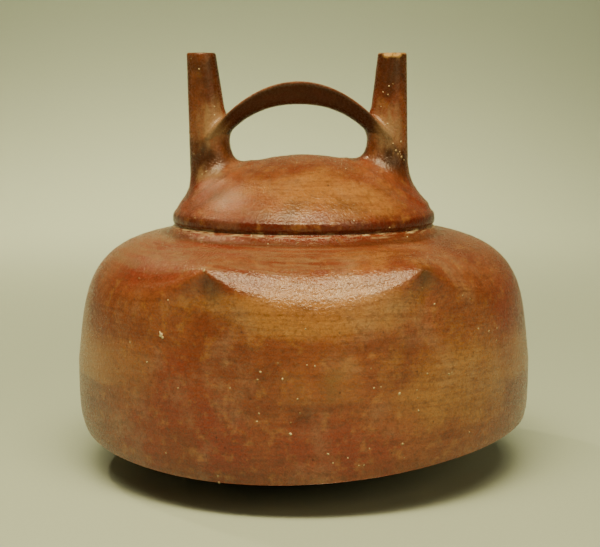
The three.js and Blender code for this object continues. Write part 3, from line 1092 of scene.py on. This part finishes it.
# %% Wobble
# The size and the depth of each layer of noise, in mm.
WOBBLE = [(34, 0.35), (13, 0.12)]
normals = np.array([v.normal[:] for v in bottle.data.vertices])
sink = np.zeros(len(points))
for size, depth in WOBBLE:
    sink += depth * np.array([0.5 + 0.5 * noise.noise(Vector(p) / size) for p in points])
sink *= outside * smoothstep(z, 1, 12)
thin_part = np.isin(owner, [names.index(n) for n in ("left_spout", "right_spout", "strap")])
sink *= np.where(thin_part, 0.5, 1)
new_points = points - normals * sink[:, None]
bottle.data.vertices.foreach_set("co", (new_points * MM).ravel())
bottle.data.update()
print("deepest sink, mm:", round(float(sink.max()), 2))

# %% [markdown]
# ## What the finish needs to know
#
# The burnishing stone ran round the body and the dome, along the strap, and up and down the
# spouts. The attribute "stroke" holds that direction: X and Y run along the strokes and Z runs
# across them, in millimetres. Other attributes say where dirt lies, where the slip is worn,
# where the fire left it red, ochre or smoky, and where shade and sheen are painted on. They are
# worked out from places in millimetres, each a soft ellipsoid, and the material breaks up their
# edges.

# %% Stroke directions
azimuth = np.arctan2(y, x)
stroke = np.stack([60 * np.cos(azimuth), 60 * np.sin(azimuth), z - radius], axis=-1)
for name, spout in SPOUTS.items():
    mask = owner == names.index(name)
    axis = spout_axis(spout)
    around = np.arctan2(-(x - axis["x"](z)) * spout["side"], -y)
    stroke[mask] = np.stack([z, 0 * z, 6.5 * around], axis=-1)[mask]
mask = owner == names.index("strap")
stroke[mask] = np.stack([1.2 * x, 0 * x, 1.1 * y + 4 * normals[:, 2]], axis=-1)[mask]
print("stroke range, mm:", stroke.min(0).round(), stroke.max(0).round())


# %% Masks
def soft_spot(centre, size):
    return np.exp(-(((points - np.array(centre)) / np.array(size)) ** 2).sum(1))


def ring_band(radius_mm, height, width):
    return np.exp(-(((radius - radius_mm) / width) ** 2) - ((z - height) / width) ** 2)


def spots(*places):
    return sum(soft_spot(centre, size) for centre, size in places)


groove_z = GROOVE_HEIGHT + groove_rise(azimuth)
dirt = 0.48 * ring_band(COLLAR_RADIUS - GROOVE_DEPTH + 0.6, groove_z - 0.4, 0.75)
crumbs_in_groove = ring_band(COLLAR_RADIUS - 0.4, groove_z - 0.4, 0.8)
# Painted shade in deep red on the collar's band, under the rim and above the groove.
collar_shade = ring_band(COLLAR_RADIUS, groove_z + 2.9, 3.4)
strap_near = nearest[:, names.index("strap")]
spout_near = nearest[:, [names.index(n) for n in SPOUTS]].min(1)
joint = np.exp(-(((strap_near + spout_near) / 1.6) ** 2)) * (np.abs(y) > 3)
is_strap = owner == names.index("strap")
is_spout = np.isin(owner, [names.index(n) for n in SPOUTS])

# Smoke and painted shade: the strap is painted darker, most where it faces down and to the front
# and least at its lips, and the spouts are a little darker all over.
under = smoothstep(-normals[:, 2], 0.0, 0.4)
front = smoothstep(-normals[:, 1], 0.3, 0.8)
strap_edge = smoothstep(np.abs(y), 6.4, 7.6)
dark = is_strap * (0.25 + 0.55 * under + 0.7 * front - 0.35 * strap_edge) + 0.3 * is_spout
# Painted shade under the two front lugs, and a darker patch low on the front.
dark += 0.45 * spots(
    ((-34, -88, 85), (14, 16, 7)),
    ((45, -84, 86), (11, 14, 6)),
    ((-6, -90, 50), (26, 16, 16)),
)
# Painted shade on the dome's left and lower front.
dark += 0.4 * spots(((-36, -24, 112), (16, 14, 12)), ((4, -46, 106), (38, 12, 8)))
# Painted shade on the spouts under the strap's feet, and smoke on the tops of the spouts.
dark += 0.6 * spots(
    ((-40, -8, 124), (6, 5, 6)),
    ((36, -8, 124), (6, 5, 6)),
    ((-40, 0, 158), (9, 9, 9)),
    ((34, -4, 158), (8, 8, 12)),
)
red = spots(
    ((10, -88, 26), (30, 24, 16)),
    ((-30, -84, 30), (10, 16, 16)),
    ((-58, -68, 26), (14, 18, 14)),
    ((-52, -56, 88), (34, 26, 10)),
    ((80, -40, 66), (16, 26, 20)),
    ((-46, -76, 48), (12, 20, 12)),
    ((0, -50, 98), (70, 24, 5)),
    ((-46, -14, 110), (12, 20, 12)),
    ((46, -14, 108), (12, 20, 10)),
    ((90, -24, 56), (9, 40, 30)),
)
ochre = spots(
    ((56, -70, 46), (34, 34, 20)),
    ((8, -38, 112), (38, 24, 12)),
    ((6, -79, 77), (40, 14, 7)),
    ((0, -88, 72), (26, 16, 8)),
    ((24, -60, 88), (20, 20, 6)),
    ((-14, -60, 84), (16, 16, 6)),
)
# Dust at the feet of the strap and at the foot of the left spout. On the upward faces of the
# shoulder's left side and high on the spouts it is dust and painted sheen.
dust_and_sheen = spots(((-36, -7, 137), (6, 6, 9)), ((33, -7, 135), (6, 6, 9)), ((-41, -12, 118), (8, 5, 3)))
facing_up = smoothstep(normals[:, 2], 0.45, 0.9)
dust_and_sheen += 0.42 * (z < GROOVE_HEIGHT - 1) * facing_up * smoothstep(-x, -45, 5)
dust_and_sheen += 0.06 * is_spout * smoothstep(z, 116, 130)
chipped = spots(*[(place, np.array(size) * 1.4) for place, size in CHIPS[:4]])
crumbs = 0.5 * crumbs_in_groove + 0.6 * joint
print("red and ochre at most:", red.max().round(2), ochre.max().round(2))


# %% Wear, the lips' painted highlight, and painted shade in the hollows, from the curvature
def curvature(mesh, rounds):
    """How convex the surface is at each point, evened out over its neighbours."""
    co = np.array([v.co[:] for v in mesh.vertices]) / MM
    normal = np.array([v.normal[:] for v in mesh.vertices])
    ends = np.array([e.vertices[:] for e in mesh.edges])
    count = np.bincount(ends.ravel(), minlength=len(co))[:, None]

    def neighbour_mean(values):
        total = np.zeros_like(values)
        np.add.at(total, ends[:, 0], values[ends[:, 1]])
        np.add.at(total, ends[:, 1], values[ends[:, 0]])
        return total / count

    smooth = co.copy()
    for _ in range(rounds):
        smooth = neighbour_mean(smooth)
    bulge = ((co - smooth) * normal).sum(1)
    for _ in range(2):
        bulge = neighbour_mean(bulge[:, None])[:, 0]
    return bulge


bulge = curvature(bottle.data, 6)
# Wear on convex edges; on the strap's lips it is also a painted highlight.
wear_and_lip_sheen = smoothstep(bulge, 0.10, 0.45) * outside * np.where(is_strap, 0.5, 1)
# Concave places get painted shade in the colour of smoke.
hollow_shade = smoothstep(-bulge, 0.05, 0.4) * outside * (1 - np.clip(2 * dirt, 0, 1))
print("worn and sheltered points:", int((wear_and_lip_sheen > 0.5).sum()), int((hollow_shade > 0.5).sum()))

# %% Store the attributes
MASKS = {
    "dirt": dirt,
    "wear_and_lip_sheen": wear_and_lip_sheen,
    "hollow_shade": hollow_shade,
    "dark": np.clip(dark, 0, 1),
    "collar_shade": collar_shade,
    "dust_and_sheen": np.clip(dust_and_sheen, 0, 1),
    "red": np.clip(red, 0, 1),
    "ochre": np.clip(ochre, 0, 1),
    "chipped": np.clip(chipped, 0, 1),
    "outer": outside * smoothstep(z, 8, 11),
    "crumbs": np.clip(crumbs, 0, 1) * outside,
}


def store(mesh, name, values, kind="FLOAT"):
    layer = mesh.attributes.new(name, kind, "POINT")
    layer.data.foreach_set("vector" if kind == "FLOAT_VECTOR" else "value", values.ravel())


store(bottle.data, "stroke", stroke, "FLOAT_VECTOR")
for name, values in MASKS.items():
    store(bottle.data, name, values)
bottle.data.shade_smooth()
bottle.data.materials.clear()
bottle.data.materials.append(clay)
print("attributes:", [a.name for a in bottle.data.attributes if not a.name.startswith(".")])

# %% [markdown]
# ## Grit and crumbs
#
# Pale grains of crushed rock stand flush in the skin, and crumbs of lime cling to the groove and
# the joints. Geometry Nodes place them: points with a fixed seed on the faces that a stored mask
# names, and on each point a small flattened lump of twenty faces. The largest grains are in known
# places, so a ray is sent through each of their places in the photo onto the clay.


# %% Grain material
def pale_mineral(name, dark, pale):
    material = bpy.data.materials.new(name)
    material.use_nodes = True
    tree = material.node_tree
    tree.nodes.clear()
    drift = add(tree, "ShaderNodeMapRange", even_noise(tree, 5, 2.0), 0.35, 0.65, **SMOOTH)
    colour = lay(tree, linear(dark), drift, 1.0, pale)
    shader = add(tree, "ShaderNodeBsdfPrincipled", {"Base Color": colour, "Roughness": 0.7})
    add(tree, "ShaderNodeOutputMaterial", shader)
    return material


quartz = pale_mineral("crushed_quartz_grit", "#7d5c3a", "#b8a27a")
lime = pale_mineral("lime_crumbs", "#a08c64", "#d2c49e")
print("grain materials:", quartz.name, lime.name)


# %% Grain trees
def put_grains(tree, given, points, rotation, size):
    lump = add(tree, "GeometryNodeMeshIcoSphere", {"Radius": 0.5, "Subdivisions": 1})
    longer = add(tree, "ShaderNodeMath.MULTIPLY", size, 1.3)
    flat = add(tree, "ShaderNodeMath.MULTIPLY", size, 0.35)
    shape = add(tree, "ShaderNodeCombineXYZ", longer, size, flat)
    grains = add(
        tree,
        "GeometryNodeInstanceOnPoints",
        {"Points": points, "Instance": lump, "Rotation": rotation, "Scale": shape},
    )
    whole_turn = {0: (0, 0, 0), 1: (0, 0, 6.28)}
    turn = add(tree, "FunctionNodeRandomValue", whole_turn, data_type="FLOAT_VECTOR")
    turned = add(tree, "GeometryNodeRotateInstances", {0: grains, "Rotation": turn.outputs[0]})
    real = add(tree, "GeometryNodeRealizeInstances", {0: turned})
    done = add(tree, "GeometryNodeSetMaterial", {0: real, "Material": given["Material"]})
    add(tree, "NodeGroupOutput", {0: done})


def scattered_tree():
    sockets = {"Surface": "Geometry", "Where": "String", "Density": "Float", "Seed": "Int"}
    sockets |= {"Smallest": "Float", "Largest": "Float", "Material": "Material"}
    tree, given = new_node_tree("scattered_grains", sockets)
    mask = add(tree, "GeometryNodeInputNamedAttribute", {"Name": given["Where"]}, data_type="FLOAT")
    density = add(tree, "ShaderNodeMath.MULTIPLY", mask, given["Density"])
    scatter = add(
        tree,
        "GeometryNodeDistributePointsOnFaces",
        {"Mesh": given["Surface"], "Density": density, "Seed": given["Seed"]},
    )
    share = add(tree, "FunctionNodeRandomValue", {2: 0.0, 3: 1.0}, data_type="FLOAT").outputs[1]
    # A power of the share makes most grains small and a few large.
    share = add(tree, "ShaderNodeMath.POWER", share, 3.0)
    size = add(tree, "ShaderNodeMapRange", {0: share, 3: given["Smallest"], 4: given["Largest"]})
    put_grains(tree, given, scatter, scatter.outputs["Rotation"], size)
    return tree


def placed_tree():
    tree, given = new_node_tree("placed_grains", {"Places": "Geometry", "Material": "Material"})
    points = add(tree, "GeometryNodeMeshToPoints", {0: given["Places"]})
    kind = {"data_type": "FLOAT_VECTOR"}
    facing = add(tree, "GeometryNodeInputNamedAttribute", {"Name": "facing"}, **kind)
    upright = add(tree, "FunctionNodeAlignRotationToVector", {"Vector": facing}, axis="Z")
    size = add(tree, "GeometryNodeInputNamedAttribute", {"Name": "size"}, data_type="FLOAT")
    put_grains(tree, given, points, upright, size)
    return tree


print("grain trees:", scattered_tree().name, placed_tree().name)

# %% Scattered grains
scattered = scattered_tree()
grain_sizes = {"Smallest": 0.22 * MM, "Largest": 0.9 * MM}
scattered_grit = run_tree(
    "scattered_grit",
    scattered,
    {"Where": "outer", "Density": 3000.0, "Seed": 7, **grain_sizes, "Material": quartz},
    start=bottle,
)
scattered_crumbs = run_tree(
    "scattered_crumbs",
    scattered,
    {"Where": "crumbs", "Density": 260000.0, "Seed": 3, **grain_sizes, "Material": lime},
    start=bottle,
)
print("scattered faces:", len(scattered_grit.data.polygons), len(scattered_crumbs.data.polygons))

# %% Places of the large grains, in photo pixels, with the size in mm
GRAIN_SCALE = 0.85
# fmt: off
GRAINS = [
    (161, 335, 2.0), (162.5, 337.5, 1.4), (160, 332.5, 1.1), (204, 270.5, 1.3), (147, 362, 0.9),
    (130, 342, 0.7), (109.5, 390, 0.6), (178, 388, 0.7), (230, 388, 0.6), (260.5, 372, 1.0),
    (257.5, 379.5, 0.8), (282.5, 379, 0.9), (305.5, 329, 0.7), (307, 365, 0.6), (315, 366, 0.7),
    (297.5, 399, 0.8), (259, 413.5, 0.8), (257, 421.5, 0.7), (290.5, 434, 1.3), (300, 413, 0.6),
    (166, 453, 0.8), (218, 476, 0.7), (328, 454, 1.0), (202, 242, 0.9), (157, 253, 0.7),
    (224.5, 257, 0.7), (168, 300, 0.6), (278, 363, 0.5), (371, 368.5, 0.7), (427.5, 373.5, 0.9),
    (449, 374, 1.2), (452, 372.5, 0.8), (399.5, 393.5, 1.3), (374, 388, 0.8), (381, 387, 0.6),
    (418.5, 410.5, 0.8), (417, 390, 0.6), (402.5, 444, 1.2), (369.5, 448.5, 0.6), (333, 463, 0.7),
    (348, 458, 0.7), (364, 465, 0.6), (469.5, 432, 0.7), (478.5, 328.5, 0.8), (489, 331, 0.9),
    (496.5, 340.5, 0.9), (497, 328, 0.7), (434.5, 304, 0.8), (462.5, 295.5, 0.6), (470, 298.5, 0.6),
    (401, 141.5, 0.9), (396, 150.5, 1.1), (401.5, 157, 1.2), (393, 143.5, 0.8), (404, 160, 0.8),
    (398, 154, 0.7), (202, 174.5, 0.9), (206, 171.5, 0.8), (216.5, 169.5, 0.9), (214.5, 106.5, 0.8),
    (214.5, 115, 0.7), (199, 69, 0.8), (191, 58.5, 0.6), (389, 86, 0.8), (383, 92, 0.7),
    (393, 84, 0.6), (388, 94.5, 0.7), (381, 106.5, 0.6), (286, 168.5, 0.7), (296.5, 162.5, 0.6),
    (340, 163, 0.6), (346, 168.5, 0.8), (354, 220.5, 0.8), (195, 218, 0.9), (268, 244, 0.8),
]
# fmt: on


def through_pixel(column, row):
    """The direction from the camera through a pixel of the photo."""
    across = (column - IMAGE_WIDTH / 2) / FOCAL_PIXELS
    down = (row - IMAGE_HEIGHT / 2) / FOCAL_PIXELS
    return (camera.rotation_euler.to_matrix() @ Vector((across, -down, -1))).normalized()


def placed_grains():
    search = BVHTree.FromPolygons(
        [v.co for v in bottle.data.vertices], [p.vertices for p in bottle.data.polygons]
    )
    found = []
    for column, row, size in GRAINS:
        place, facing, _, _ = search.ray_cast(camera.location, through_pixel(column, row))
        if place:
            found.append((place, facing, GRAIN_SCALE * size * MM))
    mesh = bpy.data.meshes.new("places")
    mesh.from_pydata([place for place, _, _ in found], [], [])
    store(mesh, "facing", np.array([facing[:] for _, facing, _ in found]), "FLOAT_VECTOR")
    store(mesh, "size", np.array([size for _, _, size in found]))
    holder = bpy.data.objects.new("places", mesh)
    return run_tree("placed_grit", placed_tree(), {"Material": lime}, start=holder)


placed_grit = placed_grains()
print("placed grains:", len(placed_grit.data.polygons) // 20, "of", len(GRAINS))


# %% Join the grains into one piece each
def joined(name, things):
    work = bmesh.new()
    materials = []
    for thing in things:
        start = len(work.faces)
        work.from_mesh(thing.data)
        work.faces.ensure_lookup_table()
        material = thing.data.materials[-1]
        if material not in materials:
            materials.append(material)
        for face in work.faces[start:]:
            face.material_index = materials.index(material)
            face.smooth = True
        bpy.data.objects.remove(thing)
    mesh = bpy.data.meshes.new(name)
    work.to_mesh(mesh)
    work.free()
    for material in materials:
        mesh.materials.append(material)
    made = bpy.data.objects.new(name, mesh)
    bpy.context.scene.collection.objects.link(made)
    return made


grit = joined("grit", [scattered_grit])
crumbs_piece = joined("crumbs", [scattered_crumbs, placed_grit])
print("grain faces:", len(grit.data.polygons), len(crumbs_piece.data.polygons))

# %% [markdown]
# ## The studio
#
# The bottle stands on a pale paper sweep: one sheet that curves up behind, so there is no horizon
# line. A broad soft box hangs overhead, and a narrow strip under its front edge gives the ridge
# between the lugs its bright middle. A small box behind on the left draws the edges and a darker
# shadow, a dim one fills the front, and one with a narrow spread lights only the far floor.

# %% Sweep
SWEEP = {"half_width": 6000, "front": -4500, "bend": 900, "bend_radius": 700, "top": 2600}
FIBRE_SIZE = 1.5
PAPER = ("#aec5ba", "#b6cdc2")


def paper_sweep():
    bend, r = SWEEP["bend"], SWEEP["bend_radius"]
    line = [(SWEEP["front"], 0)]
    for a in np.linspace(0, math.pi / 2, 25):
        line.append((bend + r * math.sin(a), r * (1 - math.cos(a))))
    line.append((bend + r, SWEEP["top"]))
    sides = (-SWEEP["half_width"], SWEEP["half_width"])
    points = [(x * MM, y * MM, z * MM) for y, z in line for x in sides]
    faces = [(2 * i, 2 * i + 1, 2 * i + 3, 2 * i + 2) for i in range(len(line) - 1)]
    mesh = bpy.data.meshes.new("paper_sweep")
    mesh.from_pydata(points, [], faces)
    mesh.shade_smooth()
    made = bpy.data.objects.new("paper_sweep", mesh)
    bpy.context.scene.collection.objects.link(made)
    return made


def matt_paper():
    material = bpy.data.materials.new("matt_paper")
    material.use_nodes = True
    tree = material.node_tree
    shader = tree.nodes["Principled BSDF"]
    place = tree.nodes.new("ShaderNodeTexCoord").outputs["Object"]
    # Paper fibres are far finer than a pixel, so they are drawn 1.5 mm wide, as a faint unevenness.
    sockets = {"Vector": place, "Scale": 1 / (FIBRE_SIZE * MM), "Detail": 3.0}
    fibre = add(tree, "ShaderNodeTexNoise", sockets)
    tone = lay(tree, linear(PAPER[0]), fibre, 1.0, PAPER[1])
    tree.links.new(tone, shader.inputs["Base Color"])
    shader.inputs["Roughness"].default_value = 0.85
    return material


sweep = paper_sweep()
sweep.data.materials.append(matt_paper())
print("sweep faces:", len(sweep.data.polygons))

# %% Lights
SOFT_BOXES = {
    "overhead": {"place": (-40, -470, 1150), "size": (1200, 500), "power": 18.5},
    "strip": {"place": (-40, -500, 1140), "size": (620, 130), "power": 8.5},
    "behind_left": {"place": (-735, 600, 1150), "size": (60, 60), "power": 4.4, "aim": (0, 0, 100)},
    "front_right": {"place": (1300, -1300, 900), "size": (900, 900), "power": 5},
    "far_floor": {
        "place": (-120, 950, 1250),
        "size": (900, 500),
        "power": 4,
        "aim": (-120, 950, 0),
        "spread": 58,
    },
}
LAMP_COLOUR = "#ffe2ac"
WORLD_COLOUR, WORLD_STRENGTH = "#b8b79c", 0.1


def soft_box(name, place, size, power, aim=(0, 0, 60), spread=180):
    data = bpy.data.lights.new(name, "AREA")
    data.shape = "RECTANGLE"
    data.size, data.size_y = size[0] * MM, size[1] * MM
    data.energy = power
    data.color = linear(LAMP_COLOUR)[:3]
    data.spread = math.radians(spread)
    lamp = bpy.data.objects.new(name, data)
    lamp.location = Vector(place) * MM
    lamp.rotation_euler = (Vector(aim) * MM - lamp.location).to_track_quat("-Z", "Y").to_euler()
    bpy.context.scene.collection.objects.link(lamp)


for name, box in SOFT_BOXES.items():
    soft_box(name, **box)

world = bpy.data.worlds.new("studio")
world.use_nodes = True
background = world.node_tree.nodes["Background"]
background.inputs["Color"].default_value = linear(WORLD_COLOUR)
background.inputs["Strength"].default_value = WORLD_STRENGTH
bpy.context.scene.world = world
print("soft boxes:", list(SOFT_BOXES))

# %% [markdown]
# ## Hand over
#
# The joined bottle stands for the solid, the grains ride with it, and the working meshes go.

# %% Finish
for thing in (body, *spouts.values(), *bores, strap, hollow, chips):
    bpy.data.objects.remove(thing)
pieces = (bottle, grit, crumbs_piece)
for piece in pieces:
    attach(piece, "root")
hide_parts("bottle")
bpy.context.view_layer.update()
faces = [face for piece in pieces for face in piece.data.polygons]
print("triangles:", sum(len(face.vertices) - 2 for face in faces))
